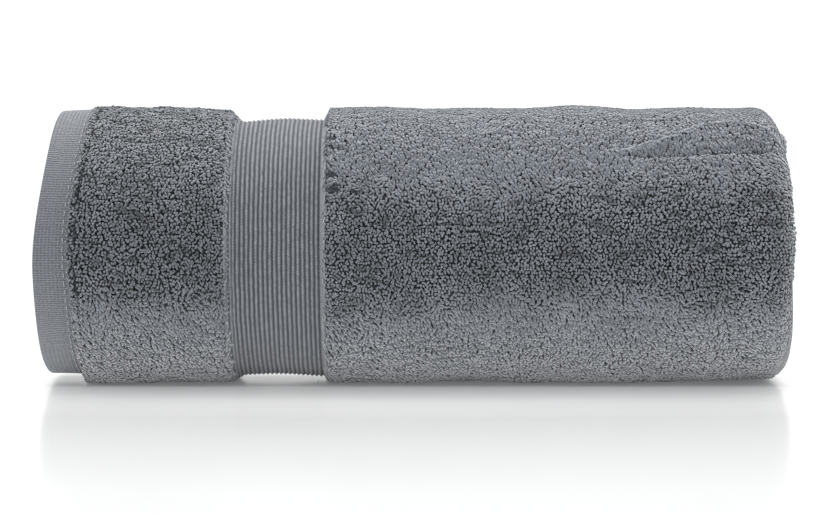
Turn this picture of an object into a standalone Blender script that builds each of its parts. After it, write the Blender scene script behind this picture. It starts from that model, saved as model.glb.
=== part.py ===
"""A terry bath towel, folded in four along its length and rolled up from one side edge.

The towel is one piece of cloth with its hems and borders woven in, so it is one solid. It is
made in the order in which a towel is rolled: the folded cloth is laid out flat as a stack of
four layers, creased into strips where it has to bend, and every point of it is then carried
to its place in the roll.

Metres, +Z up. The roll's axis runs along X, with the two hems at -X and the folds at +X. The
roll lies on z = 0 with its front towards -Y. Laid flat, the stack has its length along X, its
winding length along Y and its thickness along Z.
"""

import math

import bmesh
import bpy
import numpy as np

# The towel
TOWEL_LENGTH = 1.400
TOWEL_WIDTH = 0.700
LAYERS = 4
LAYER = 0.0046
HEM_WIDTH = 0.0175
BORDER_FROM_HEM_EDGE = 0.0885
BORDER_WIDTH = 0.0476
RIBS = 19
RIB_PITCH = 0.00205
RIB_HEIGHT = 0.0007
RIBS_FROM_BORDER_EDGE = 0.0049
CLOTH_COLOUR = (0.185, 0.197, 0.213, 1.0)
CLOTH_ROUGHNESS = 0.95

# The folded stack, with its middle at n = 0
ROLL_LENGTH = TOWEL_LENGTH / LAYERS
HALF_LENGTH = ROLL_LENGTH / 2
STACK = LAYERS * LAYER
HALF_STACK = STACK / 2
GAP = 0.0006
SECOND_HEM_SETBACK = 0.003
INNER_FOLD_SETBACK = 0.008
INNER_FOLD_REACH = 0.005
SPLIT_DEPTH = 0.0165
OUTER_FOLD_REACH = HALF_STACK
LAYER_SLIP = 0.014
LAYER_ENDS = [TOWEL_WIDTH + (i - (LAYERS - 1) / 2) * LAYER_SLIP for i in range(LAYERS)]

# Places along the roll, with x = 0 at its middle
FIRST_HEM_X = -HALF_LENGTH
SECOND_HEM_X = FIRST_HEM_X + SECOND_HEM_SETBACK
INNER_FOLD_X = FIRST_HEM_X + INNER_FOLD_SETBACK
HEM_END_X = FIRST_HEM_X + HEM_WIDTH
BORDER_X = FIRST_HEM_X + BORDER_FROM_HEM_EDGE
BORDER_END_X = BORDER_X + BORDER_WIDTH
RIBS_X = BORDER_X + RIBS_FROM_BORDER_EDGE
OUTER_FOLD_X = HALF_LENGTH - OUTER_FOLD_REACH

# The winding
TURN_PITCH = STACK + GAP
CORE_RADIUS = 0.0008
INNER_LAYERS_START_ANGLE = math.pi
FREE_END_ANGLE = math.radians(290)
WIDENING = 1.05
SETTLED = 0.0022
FLAT_SPOT_EDGES = (math.radians(-12), math.radians(16))
STEPS_PER_TURN = (14, 24, 44, 44)
LEAST_STEP = 0.0028
TELESCOPED_AT_CORE = 0.004

# How far the cloth's outer face lies under the pile, and how that changes from top to bottom
HEM_DEPTH = 0.0036
HEM_DEPTH_TOP_TO_BOTTOM = 0.0021
BORDER_DEPTH = 0.0052
BORDER_DEPTH_TOP_TO_BOTTOM = -0.0006
INNER_TURN_DEPTH = 0.0010
STEP_WIDTH = 0.0010

# The steps down from the pile to the border and up again: place across it, share of its depth
BORDER_STEPS = (
    {"place": 0.0, "share": 0.0},
    {"place": 0.0020, "share": 0.55},
    {"place": 0.0060, "share": 1.0},
    {"place": BORDER_WIDTH - 0.0030, "share": 1.0},
    {"place": BORDER_WIDTH - 0.0012, "share": 0.7},
    {"place": BORDER_WIDTH, "share": 0.0},
)

# How long before the free end the outer face, which shows from there on, takes its full relief
# and its unevenness
RELIEF_BEFORE_END = {"from": math.radians(410), "to": math.radians(370)}
UNEVEN_BEFORE_END = {"from": math.radians(365), "to": math.radians(340)}

# How far the hems draw in towards the top and the folds reach out towards the floor. The rise
# is a share of the roll's radius, from its axis
HEMS_DRAW_IN = ({"from_rise": -0.2, "to_rise": 0.8, "by": 0.0060},)
FOLDS_REACH_OUT = (
    {"from_rise": 0.95, "to_rise": 0.35, "by": 0.0033},
    {"from_rise": 0.0, "to_rise": -0.8, "by": 0.0035},
)

# How far the underside lifts off the floor towards the folds, and from where
FOLDS_LIFT = 0.0025
FOLDS_LIFT_X = 0.105

# Soft waves of the outer face: height, waves round the roll, waves along it, phase
WAVES = (
    {"height": 0.0005, "round": 2, "along": 3.1, "phase": 0.4},
    {"height": 0.0004, "round": 3, "along": -7.3, "phase": 1.1},
    {"height": 0.0003, "round": 7, "along": 5.2, "phase": 2.0},
)

# Creases by the folded end: where each runs along the roll, its angle round it, its half width
# and its height
CREASES = (
    {"start": 0.095, "end": 0.170, "angle": 137, "half_width": 0.006, "height": -0.0020},
    {"start": 0.100, "end": 0.174, "angle": 122, "half_width": 0.009, "height": 0.0013},
)


def winding_angle(along):
    """The angle wound so far, in radians, at a length along the stack from its inner end."""
    growth = TURN_PITCH / (2 * math.pi)
    return (math.sqrt(CORE_RADIUS**2 + 2 * growth * max(along, 0.0)) - CORE_RADIUS) / growth


def length_wound(angle):
    """The length along the stack at which that angle is reached."""
    growth = TURN_PITCH / (2 * math.pi)
    return CORE_RADIUS * angle + growth * angle**2 / 2


LAST_ANGLE = winding_angle(LAYER_ENDS[0])
BOTTOM_ANGLE = LAST_ANGLE - (FREE_END_ANGLE - 1.5 * math.pi)
BOTTOM_RADIUS = CORE_RADIUS + HALF_STACK + TURN_PITCH * BOTTOM_ANGLE / (2 * math.pi)
AXIS_HEIGHT = BOTTOM_RADIUS - SETTLED


def smooth(value, start, end):
    """0 before start and 1 after end, with a soft change between them."""
    share = min(max((value - start) / (end - start), 0.0), 1.0)
    return share * share * (3 - 2 * share)


def outline_solid(name, points, width, rotation, middle):
    """A closed outline given thickness, as a mesh object welded at its rims."""
    curve = bpy.data.curves.new(name + "_outline", "CURVE")
    curve.dimensions = "2D"
    curve.fill_mode = "BOTH"
    curve.extrude = width / 2
    spline = curve.splines.new("POLY")
    spline.points.add(len(points) - 1)
    for point, (u, v) in zip(spline.points, points):
        point.co = (u, v, 0, 1)
    spline.use_cyclic_u = True
    outline = bpy.data.objects.new(name + "_outline", curve)
    bpy.context.scene.collection.objects.link(outline)
    outline.rotation_euler = rotation
    outline.location = middle
    bpy.context.view_layer.update()
    graph = bpy.context.evaluated_depsgraph_get()
    mesh = bpy.data.meshes.new_from_object(outline.evaluated_get(graph))
    mesh.name = name
    edited = bmesh.new()
    edited.from_mesh(mesh)
    bmesh.ops.remove_doubles(edited, verts=edited.verts, dist=1e-6)
    bmesh.ops.recalc_face_normals(edited, faces=edited.faces)
    edited.to_mesh(mesh)
    edited.free()
    solid = bpy.data.objects.new(name, mesh)
    solid.matrix_world = outline.matrix_world
    bpy.data.objects.remove(outline)
    bpy.data.curves.remove(curve)
    return solid


def fold_section():
    """Corners of the stack seen along the winding, (x, n): two hems and a fold at the left."""
    split_x = FIRST_HEM_X + SPLIT_DEPTH
    first_hem_foot, second_hem_head = LAYER + GAP / 2, LAYER - GAP / 2
    second_hem_foot, fold_head = GAP / 2, -GAP / 2
    return (
        (INNER_FOLD_X, -HALF_STACK),
        (HALF_LENGTH, -HALF_STACK),
        (HALF_LENGTH, HALF_STACK),
        (FIRST_HEM_X, HALF_STACK),
        (FIRST_HEM_X, first_hem_foot),
        (split_x, first_hem_foot),
        (split_x, second_hem_head),
        (SECOND_HEM_X, second_hem_head),
        (SECOND_HEM_X, second_hem_foot),
        (split_x, second_hem_foot),
        (split_x, fold_head),
        (INNER_FOLD_X, fold_head),
    )


def staggered_section():
    """Corners of the stack seen along the roll, (length wound, n).

    The two inner layers start half a turn later, so that the roll has no hole at its core, and
    each layer ends by itself.
    """
    levels = [STACK, *(HALF_STACK - i * LAYER for i in range(1, LAYERS)), -STACK]
    inner_start = length_wound(INNER_LAYERS_START_ANGLE)
    corners = [(0.0, STACK), (0.0, 0.0), (inner_start, 0.0), (inner_start, -STACK)]
    for i in reversed(range(LAYERS)):
        corners += [(LAYER_ENDS[i], levels[i + 1]), (LAYER_ENDS[i], levels[i])]
    return corners


def flat_stack():
    """The folded cloth laid out flat, as a bmesh."""
    across, along = (math.pi / 2, 0, 0), (math.pi / 2, 0, math.pi / 2)
    middle = (0, TOWEL_WIDTH / 2, 0)
    stack = outline_solid("flat_stack", fold_section(), 1.2 * TOWEL_WIDTH, across, middle)
    ends = outline_solid("layer_ends", staggered_section(), 1.2 * ROLL_LENGTH, along, (0, 0, 0))
    helpers = bpy.data.collections.new("helpers")
    helpers.hide_render = True
    bpy.context.scene.collection.children.link(helpers)
    for helper in (stack, ends):
        helper.hide_render = True
        helper.display_type = "WIRE"
        helpers.objects.link(helper)
    trim = stack.modifiers.new("layer_ends", "BOOLEAN")
    trim.operation = "INTERSECT"
    trim.object = ends
    bpy.context.view_layer.update()
    graph = bpy.context.evaluated_depsgraph_get()
    evaluated = stack.evaluated_get(graph)
    edited = bmesh.new()
    edited.from_mesh(evaluated.to_mesh())
    edited.transform(stack.matrix_world)
    evaluated.to_mesh_clear()
    return edited


def crease_places():
    """Where the flat stack is creased: along x, along the winding, and through the thickness."""
    along_x = [INNER_FOLD_X + INNER_FOLD_REACH, HEM_END_X, HEM_END_X + STEP_WIDTH]
    along_x += [BORDER_X + step["place"] for step in BORDER_STEPS]
    along_x += list(np.linspace(BORDER_END_X, OUTER_FOLD_X, 8)[1:])
    along_x += [OUTER_FOLD_X + OUTER_FOLD_REACH * share for share in (1 / 3, 2 / 3)]
    spot_edges = [length_wound(BOTTOM_ANGLE + edge) for edge in FLAT_SPOT_EDGES]
    kept_places = [*LAYER_ENDS, *spot_edges, length_wound(INNER_LAYERS_START_ANGLE)]
    steps, angle = [], 0.0
    while angle < winding_angle(LAYER_ENDS[-1]):
        angle += 2 * math.pi / STEPS_PER_TURN[int(angle / (2 * math.pi))]
        place = length_wound(angle)
        if min(abs(place - other) for other in kept_places) > LEAST_STEP:
            steps.append(place)
    return along_x, steps + spot_edges, (-LAYER, 0.0, LAYER)


def cut(stack, faces, axis, place):
    """Cuts the faces at a place along an axis, 0 to 2."""
    normal = [float(i == axis) for i in range(3)]
    point = [place * part for part in normal]
    edges = {edge for face in faces for edge in face.edges}
    points = {vertex for face in faces for vertex in face.verts}
    geometry = [*points, *edges, *faces]
    bmesh.ops.bisect_plane(stack, geom=geometry, dist=1e-7, plane_co=point, plane_no=normal)


def crease(stack):
    """Cuts the stack's faces where they bend, so that the roll comes out round."""
    for axis, places in enumerate(crease_places()):
        for place in places:
            cut(stack, list(stack.faces), axis, place)


def crease_ribs(stack):
    """Cuts the border's outer face along each rib's foot and crest, where it shows."""
    shows_from = length_wound(LAST_ANGLE - RELIEF_BEFORE_END["from"])
    for half_rib in range(2 * RIBS + 1):
        on_border = [
            face
            for face in stack.faces
            if face.normal.z > 0.9
            and face.calc_center_median().z > HALF_STACK - LAYER / 2
            and BORDER_X < face.calc_center_median().x < BORDER_END_X
            and face.calc_center_median().y > shows_from
        ]
        cut(stack, on_border, 0, RIBS_X + half_rib * RIB_PITCH / 2)


def rounded(x, n, middle, half_height, centre_x, reach):
    """A square end of the section turned into a half round one that starts at centre_x."""
    share = (x - centre_x) / reach
    level = (n - middle) / half_height
    return (
        centre_x + reach * share * math.sqrt(1 - level**2 / 2),
        middle + half_height * level * math.sqrt(1 - share**2 / 2),
    )


def shaped_section(x, n):
    """The section with its two folds rounded."""
    inner_start = INNER_FOLD_X + INNER_FOLD_REACH
    if x > OUTER_FOLD_X:
        return rounded(x, n, 0.0, HALF_STACK, OUTER_FOLD_X, OUTER_FOLD_REACH)
    if x < inner_start and n < 0:
        middle, half_height = -LAYER - GAP / 4, LAYER - GAP / 4
        return rounded(x, n, middle, half_height, inner_start, INNER_FOLD_REACH)
    return x, n


def rib_height(x):
    """How far the border's ribs stand out at x."""
    ribs_in = (x - RIBS_X) / RIB_PITCH
    if not 0 < ribs_in < RIBS:
        return 0.0
    return RIB_HEIGHT * (1 - math.cos(2 * math.pi * ribs_in)) / 2


def cloth_depth(x, angle, wound):
    """How far the outer face lies under the pile at x, at an angle round the roll."""
    hem_share = np.interp(x, (HEM_END_X, HEM_END_X + STEP_WIDTH), (1, 0))
    places = [BORDER_X + step["place"] for step in BORDER_STEPS]
    border_share = np.interp(x, places, [step["share"] for step in BORDER_STEPS])
    begin, full = (LAST_ANGLE - RELIEF_BEFORE_END[end] for end in ("from", "to"))
    shows = smooth(wound, begin, full)
    hem = HEM_DEPTH - HEM_DEPTH_TOP_TO_BOTTOM * math.sin(angle)
    border = BORDER_DEPTH - BORDER_DEPTH_TOP_TO_BOTTOM * math.sin(angle)
    hem = INNER_TURN_DEPTH + (hem - INNER_TURN_DEPTH) * shows
    border = INNER_TURN_DEPTH + (border - INNER_TURN_DEPTH) * shows
    return hem * hem_share + border * border_share - rib_height(x) * shows


def unevenness(x, angle):
    """The soft waves and creases of the outer face, as a height."""
    height = 0.0
    for wave in WAVES:
        along = 2 * math.pi * wave["along"] * x / ROLL_LENGTH
        height += wave["height"] * math.sin(wave["round"] * angle + along + wave["phase"])
    height -= FOLDS_LIFT * smooth(x, FOLDS_LIFT_X, HALF_LENGTH) * max(-math.sin(angle), 0)
    for row in CREASES:
        inside = smooth(x, row["start"], row["start"] + 0.02) * (
            1 - smooth(x, row["end"] - 0.012, row["end"])
        )
        away = (angle - math.radians(row["angle"])) * BOTTOM_RADIUS / row["half_width"]
        height += row["height"] * inside * math.exp(-(away**2))
    return height


def end_shift(rows, rise):
    """How far an end of the roll is shifted along x at a height above the roll's axis."""
    share = rise / BOTTOM_RADIUS
    return sum(row["by"] * smooth(share, row["from_rise"], row["to_rise"]) for row in rows)


def carried_to_roll(flat):
    """A point of the flat stack, (x, length wound, n), carried to its place in the roll."""
    x, n = shaped_section(flat.x, flat.z)
    wound = winding_angle(flat.y)
    angle = FREE_END_ANGLE + wound - LAST_ANGLE
    if n > 0:
        begin, full = (LAST_ANGLE - UNEVEN_BEFORE_END[end] for end in ("from", "to"))
        height = unevenness(flat.x, angle % (2 * math.pi)) * smooth(wound, begin, full)
        n *= 1 - (cloth_depth(flat.x, angle, wound) - height) / HALF_STACK
    radius = CORE_RADIUS + TURN_PITCH * wound / (2 * math.pi) + n
    y = WIDENING * radius * math.cos(angle)
    rise = radius * math.sin(angle)
    hem_share = smooth(-flat.x, HALF_LENGTH / 2, HALF_LENGTH)
    fold_share = smooth(flat.x, HALF_LENGTH / 2, HALF_LENGTH)
    x += hem_share * end_shift(HEMS_DRAW_IN, rise) + fold_share * end_shift(FOLDS_REACH_OUT, rise)
    x += TELESCOPED_AT_CORE * (1 - wound / LAST_ANGLE) * (hem_share - fold_share)
    return x, y, max(rise + AXIS_HEIGHT, 0.0)


def cloth_material():
    material = bpy.data.materials.new("grey_terry")
    material.use_nodes = True
    shader = material.node_tree.nodes["Principled BSDF"]
    shader.inputs["Base Color"].default_value = CLOTH_COLOUR
    shader.inputs["Roughness"].default_value = CLOTH_ROUGHNESS
    shader.inputs["Metallic"].default_value = 0.0
    material.diffuse_color = CLOTH_COLOUR
    return material


def rolled_towel():
    """The towel as one solid, with the middle of its footprint at the origin."""
    cloth = flat_stack()
    crease(cloth)
    crease_ribs(cloth)
    for vertex in cloth.verts:
        vertex.co = carried_to_roll(vertex.co)
    places = np.array([vertex.co for vertex in cloth.verts])
    middle = (places.max(axis=0) + places.min(axis=0)) / 2
    for vertex in cloth.verts:
        vertex.co.x -= middle[0]
        vertex.co.y -= middle[1]
    bmesh.ops.triangulate(cloth, faces=cloth.faces)
    bmesh.ops.recalc_face_normals(cloth, faces=cloth.faces)
    mesh = bpy.data.meshes.new("rolled_towel")
    cloth.to_mesh(mesh)
    cloth.free()
    mesh.shade_smooth()
    mesh.set_sharp_from_angle(angle=math.radians(40))
    mesh.materials.append(cloth_material())
    return bpy.data.objects.new("rolled_towel", mesh)


def main():
    for startup_object in list(bpy.data.objects):
        bpy.data.objects.remove(startup_object)
    towel = bpy.data.collections.new("bath_towel")
    bpy.context.scene.collection.children.link(towel)
    towel.objects.link(rolled_towel())


main()
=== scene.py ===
"""The looks of the rolled bath towel.

The towel is modelled as the sheet that it is: 700 x 1400 mm, folded in four along its length
and rolled up. Its ground cloth is one closed mesh, the ribs of the border are a finer mesh over
it, and the terry's loops are real arched loops of yarn.

Every shape is worked out flat, as (x, s, n): along the roll, along the winding from its inner
end, and through the stack of four layers from its middle. placed() then carries it to the roll.
Metres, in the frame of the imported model.
"""

import math

import bpy
import numpy as np
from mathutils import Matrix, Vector


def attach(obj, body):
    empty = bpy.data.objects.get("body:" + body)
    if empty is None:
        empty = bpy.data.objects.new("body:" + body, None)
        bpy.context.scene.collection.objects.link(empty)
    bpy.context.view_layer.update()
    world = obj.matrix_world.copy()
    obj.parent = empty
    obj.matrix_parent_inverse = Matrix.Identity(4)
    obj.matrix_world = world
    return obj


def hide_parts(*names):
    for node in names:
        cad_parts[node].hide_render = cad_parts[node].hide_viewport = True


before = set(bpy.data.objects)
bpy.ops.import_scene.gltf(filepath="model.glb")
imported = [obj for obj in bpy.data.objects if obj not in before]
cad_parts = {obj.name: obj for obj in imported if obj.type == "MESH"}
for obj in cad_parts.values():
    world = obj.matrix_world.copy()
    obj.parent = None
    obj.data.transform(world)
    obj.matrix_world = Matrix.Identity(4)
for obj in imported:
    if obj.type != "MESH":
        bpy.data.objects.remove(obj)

NODE = "rolled_towel"
SEED = 7

# The towel and its folded stack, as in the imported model
TOWEL_LENGTH = 1.400
TOWEL_WIDTH = 0.700
LAYERS = 4
LAYER = 0.0046
HEM_WIDTH = 0.0175
BORDER_FROM_HEM_EDGE = 0.0885
BORDER_WIDTH = 0.0476
RIBS_FROM_BORDER_EDGE = 0.0023
NARROW_RIBS = 2
NARROW_RIB_PITCH = 0.0015
RIBS = 18
RIB_PITCH = 0.00216
RIB_HEIGHT = 0.0008
RIB_ROWS = 440
RIB_STEPS = 5
RIB_TWIST = 0.8
RIB_SWAY = 0.00010
RIB_SLOPE = (0.12, 0.85)
BEAD_DEPTH = 0.20
MARGIN_TWIST = {"pitch": 0.0018, "slant": 1.2, "depth": 0.35}
GROUND_UNDER_RIBS = 0.0002
STITCHES_FROM_HEM_END = 0.0020
STITCH_LENGTH = 0.0020
STITCH_PITCH = 0.0038
STITCH_RADIUS = 0.00027
HALF_LENGTH = TOWEL_LENGTH / LAYERS / 2
STACK = LAYERS * LAYER
HALF_STACK = STACK / 2
GAP = 0.0006
SECOND_HEM_SETBACK = 0.003
INNER_FOLD_SETBACK = 0.008
LAYER_SLIP = 0.014
LAYER_ENDS = [TOWEL_WIDTH + (i - (LAYERS - 1) / 2) * LAYER_SLIP for i in range(LAYERS)]

# Places along the roll, before the frame's origin is taken off
FIRST_HEM_X = -HALF_LENGTH
SECOND_HEM_X = FIRST_HEM_X + SECOND_HEM_SETBACK
INNER_FOLD_X = FIRST_HEM_X + INNER_FOLD_SETBACK + LAYER
HEM_END_X = FIRST_HEM_X + HEM_WIDTH
BORDER_X = FIRST_HEM_X + BORDER_FROM_HEM_EDGE
BORDER_END_X = BORDER_X + BORDER_WIDTH
NARROW_RIBS_X = BORDER_X + RIBS_FROM_BORDER_EDGE
RIBS_X = NARROW_RIBS_X + NARROW_RIBS * NARROW_RIB_PITCH
RIB_EDGES = (
    *(NARROW_RIBS_X + NARROW_RIB_PITCH * i for i in range(NARROW_RIBS)),
    *(RIBS_X + RIB_PITCH * i for i in range(RIBS + 1)),
)
OUTER_FOLD_X = HALF_LENGTH - HALF_STACK
STITCHES_X = HEM_END_X - STITCHES_FROM_HEM_END

# The winding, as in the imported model
TURN_PITCH = STACK + GAP
GROWTH = TURN_PITCH / (2 * math.pi)
CORE_RADIUS = 0.0008
FREE_END_ANGLE = math.radians(290)
WIDENING = 1.05
SETTLED = 0.0022
TELESCOPED_AT_CORE = 0.004
SEAM_BOWS = {"by": 0.0030, "angle": 163, "half_angle": 33, "fades_over": 0.035}
FOLDS_LIFT = 0.0025
FOLDS_LIFT_X = 0.105

# How far the two ends are shifted along x, growing from one height to another. The heights are
# over the roll's axis, as shares of its radius
HEMS_DRAW_IN = ((-0.2, 0.8, 0.0060),)
FOLDS_REACH_OUT = ((0.95, 0.35, 0.0033), (0.0, -0.8, 0.0035))

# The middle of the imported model's footprint, seen from the roll's own axis
ORIGIN = (0.00340, -0.00507)

# Relief of the outer face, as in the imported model
HEM_DEPTH = {"middle": 0.0036, "top_to_bottom": 0.0021}
BORDER_DEPTH = {"middle": 0.0052, "top_to_bottom": -0.0006}
INNER_TURN_DEPTH = 0.0010
STEP_WIDTH = 0.0010

# The degrees before the free end at which the outer face starts to take its relief and has it
# all, and the same for its unevenness
RELIEF_BEFORE_END = (410, 370)
UNEVEN_BEFORE_END = (365, 340)

# How the border falls away from the terry on its two sides, as shares of its depth
BORDER_SLOPE = {"places": (0.0, 0.0020, 0.0060), "shares": (0.0, 0.55, 1.0)}
BORDER_STEP = {"places": (0.0, 0.0012, 0.0030), "shares": (0.0, 0.70, 1.0)}
TERRY_OVER_BORDER = {"slope": 0.0022, "step": 0.0016, "uneven": 0.0006}

# Soft waves: their height, their number round the roll and along it, and their phase
WAVES = ((0.0005, 2, 3.1, 0.4), (0.0004, 3, -7.3, 1.1), (0.0003, 7, 5.2, 2.0))

# Where the cloth is creased: places along the roll and, at each, the angle round it in degrees.
# The half widths are the ones above and below the crease, which fades in and out at its ends
CREASE_FADES = {"in": 0.02, "out": 0.012}
CREASES = (
    {
        "x": (0.086, 0.1015, 0.1135, 0.1255, 0.138, 0.1525, 0.1665, 0.173),
        "angle": (140, 138, 134, 128.5, 123, 121.5, 125.5, 134),
        "half_widths": (0.0012, 0.0060),
        "height": 0.0022,
    },
    {
        "x": (0.090, 0.127, 0.146, 0.169),
        "angle": (140, 138.5, 137.5, 138.5),
        "half_widths": (0.0035, 0.0032),
        "height": -0.0022,
    },
    {"x": (0.105, 0.140), "angle": (116, 112), "half_widths": (0.003, 0.003), "height": -0.0010},
)
RIDGE = CREASES[0]
# The crest of the ridge, where the loops lie along it and take a painted highlight
RIDGE_CREST_HIGHLIGHT = {"half_widths": (0.0011, 0.0011), "shade": 1.4}
RIDGE_LOOPS = {"pitch": 0.0010, "rows": (-0.0005, 0.0, 0.0005), "loose": 0.0004}

# Where the pile is parted, as lines with two ends: the place along the roll and the angle round
# it in degrees of one end and of the other, and the line's half width
PARTINGS = (
    (0.0980, 140.5, 0.1110, 140.2, 0.0015),
    (0.1160, 139.6, 0.1340, 139.4, 0.0015),
    (0.1400, 139.2, 0.1480, 138.8, 0.0013),
    (0.1540, 139.2, 0.1650, 138.6, 0.0012),
    (0.1050, 133.6, 0.1135, 131.2, 0.0006),
    (0.1135, 131.2, 0.1400, 120.4, 0.0006),
    (0.1080, 116.5, 0.1245, 114.0, 0.0008),
    (-0.0390, 131.0, -0.0350, 131.0, 0.0009),
    (-0.0400, 136.0, -0.0300, 136.5, 0.0017),
    (-0.0400, 139.5, -0.0370, 140.0, 0.0016),
    (-0.0400, 150.5, -0.0360, 150.5, 0.0015),
    (-0.0400, 156.5, -0.0325, 157.0, 0.0018),
    (-0.0400, 160.5, -0.0385, 163.0, 0.0012),
    (-0.0310, 158.3, -0.0240, 158.3, 0.0008),
    (-0.0290, 165.5, -0.0240, 163.5, 0.0009),
    (-0.0990, 135.0, -0.0895, 137.0, 0.0011),
    (-0.1535, 100, -0.1540, 160, 0.0007),
    (-0.1540, 160, -0.1535, 215, 0.0006),
)
PARTING_DEPTH = 0.9
PARTING_UNEVEN = ((0.8, 0.0045, 32),)

# The cloth's own thickness under the pile, and the height of the pile over it
GROUND = 0.0022
HEM_THICKNESS = 0.0019
BORDER_THICKNESS = 0.0015
PILE = 0.0016
LAYER_CLEARANCE = 0.0003
FLOOR_CLEARANCE = 0.0002
PRESSED_OVER = 0.0012
TOUCHES_FLOOR = (264, 282)

# The ground cloth's mesh: its steps along the winding, in degrees, which are fine where the cloth
# shows and finer where it is creased, and the places of these, counted back from the free end
FIRST_TURN_STEP = 20
HIDDEN_STEP = 10
SHOWN_STEP = 4
SHOWN_BEFORE_END = 415
CREASED_BEFORE_END = (140, 186)
CREASED_FROM_X = 0.095
RIM_SHARES = (0.0006, 0.0014)
RIM_END = 0.004
EDGE_THICKNESS = (0.35, 0.80)

# How far along the cloth, on both sides of a fold, one layer's ends change into the next one's
CHANGES_OVER = 0.02

# The loops of the pile
LOOP_PITCH_X = 0.00142
LOOP_PITCH_S = 0.00123
LOOPS_LOOSE = 0.36
FREE_EDGE_PITCH = 1.25
STANDING_LOOP = {"span": 0.00115, "radius": 0.00051, "lean": 0.0003}
LYING_LOOP = {"span": 0.00235, "radius": 0.00064, "lean": 0.0007}
LOOP_VARIES = {"span": (0.75, 1.3), "radius": (0.85, 1.15), "lean": (0.4, 1.4)}
TOP_VARIES = 0.0002
TOP_UNEVEN = ((0.0004, 0.005, 15),)
TALL_LOOPS = {"share": 0.06, "by": 0.0004}
PILE_DASHES = {"stretch": 3.2, "cell": 0.0058, "from": 0.30, "to": 0.75}

# The rings of a loop from foot to foot, each a row: the place along the span, the height as a
# share of the loop's own, the degrees by which the ring leans and its number of points
LOOP_RINGS = (
    (-0.66, -0.30, 75, 1),
    (-0.30, 0.93, 30, 3),
    (0.30, 1.00, -30, 3),
    (0.66, -0.30, -75, 1),
)
LOOP_POINTS = 8

# Where the pile lies, by the angle round the roll in degrees: above one line and below another,
# each softened over some degrees. Over the back the one passes into the other
LIES_ABOVE = {
    "x": (-0.095, -0.070, 0.060, 0.110, 0.150),
    "angle": (169, 170, 170, 165, 162),
    "most": (0.20, 0.85, 1.00, 1.00, 0.90),
    "over": 27,
}
LIES_BELOW = {"angle": 191, "most": 0.85, "over": 25}
OVER_THE_BACK = (15, 75)
LIE_UNEVEN = ((5, 0.030, 11), (4, 0.009, 12))
LIES_AT_ENDS = 0.3
LIES_AT_FREE_EDGES = 0.8

# The shades of the loops: how much they vary, and how much darker some are: over the roll's lower
# side, as painted shade, and beside the hem. Loops in a parting are painted darker, as shade, and
# past a given share of parting they have a material of their own, the standing pile's colours with
# less sheen
SHADE_VARIES = 0.2
SHADE_UNEVEN = ((0.45, 0.012, 51), (0.3, 0.004, 52))
PARTING_PAINTED_SHADE = 0.8
PARTING_SHADE_FROM = 0.55
DARKER_BY_HEM = 0.25
# Painted shade over the roll's lower side: by how much, and the angles over which it comes and
# goes
PAINTED_SHADE_BELOW = {"by": 0.35, "from": (195, 225), "to": (270, 300)}

# The strips of pile: where two of them meet, how far round the folds they reach, and the part of
# the folds by the open end that has loops of its own
STRIPS_MEET = (0.030, 0.100)
FOLD_SHOWS_TO = math.radians(80)
LOOPS_ON_FOLDS = (OUTER_FOLD_X + 0.004, OUTER_FOLD_X + 0.017)
LOOPS_FROM_CORE = 0.012

# The camera, which stands as the photo's did
CAMERA_DISTANCE = 1.27
CAMERA_ELEVATION = math.radians(4.0)
CAMERA_LENS = 113.6
SENSOR_WIDTH = 36.0
CAMERA_AIM = (-0.0012, 0.0, 0.0595)
CAMERA_CLIP = (0.01, 50)

# The stage. The table glows, as painted light, by the distance, counted less along the roll: a row
# gives the distances between which the glow changes, and the glow near and far. Under the towel
# the glow is cut, as a painted contact shadow
FLOOR_HALF_SIZE = (3.0, 1.07)
FLOOR_POINTS = 128
FLOOR_GLOSS = {"roughness": 0.18, "ior": 1.28}
GLOW_SHAPE = (0.3, 1.0, 0.0)
TABLE_GLOW = ((0.08, 0.14, 0.49, 0.06), (0.17, 0.34, 0.00, 0.22))
PAINTED_SHADOW_UNDER_TOWEL = ((0.018, 0.026, -0.22, 0.0), (0.032, 0.062, -0.08, 0.0))
UNDER_TOWEL_HALF_LENGTH = 0.155
ROOM_BRIGHTNESS = 1.10
OVERHEAD = {"place": (0.0, 0.25, 1.1), "size": (1.2, 0.8), "energy": 9.0}

# Colours, the yarn's at its root and at its tip. The dark roots of the standing pile and of the
# border are painted shade, down between the loops and in the grooves of the ribs; the lying pile's
# root, paler than its tip, is painted light between its loops
WHITE = (1.0, 1.0, 1.0, 1.0)
FLOOR_COLOUR = (0.78, 0.78, 0.78, 1.0)
STANDING_PILE = {"root": (0.042, 0.050, 0.060, 1.0), "tip": (0.178, 0.197, 0.224, 1.0)}
# The lying pile's root, paler than its tip, is painted light between the lying loops
LYING_PILE = {"root": (0.225, 0.249, 0.281, 1.0), "tip": (0.175, 0.194, 0.221, 1.0)}
BORDER = {"root": (0.078, 0.085, 0.096, 1.0), "tip": (0.274, 0.292, 0.322, 1.0)}
HEM = {"root": (0.240, 0.257, 0.285, 1.0), "tip": (0.240, 0.257, 0.285, 1.0)}
SEAM = {"root": (0.440, 0.450, 0.460, 1.0), "tip": (0.440, 0.450, 0.460, 1.0)}

# The yarn: its surface, the fineness of its fibres and how much they vary its brightness
ROUGHNESS = 0.92
SPECULAR = 0.15
SHEEN = {"pile": 0.80, "parting": 0.20, "weave": 0.45}
SHEEN_ROUGHNESS = 0.45
FIBRES = {"Scale": 1300, "Detail": 3}
GRAIN = (0.82, 1.18)
SHADE_TONES = (0.82, 1.54)

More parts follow.
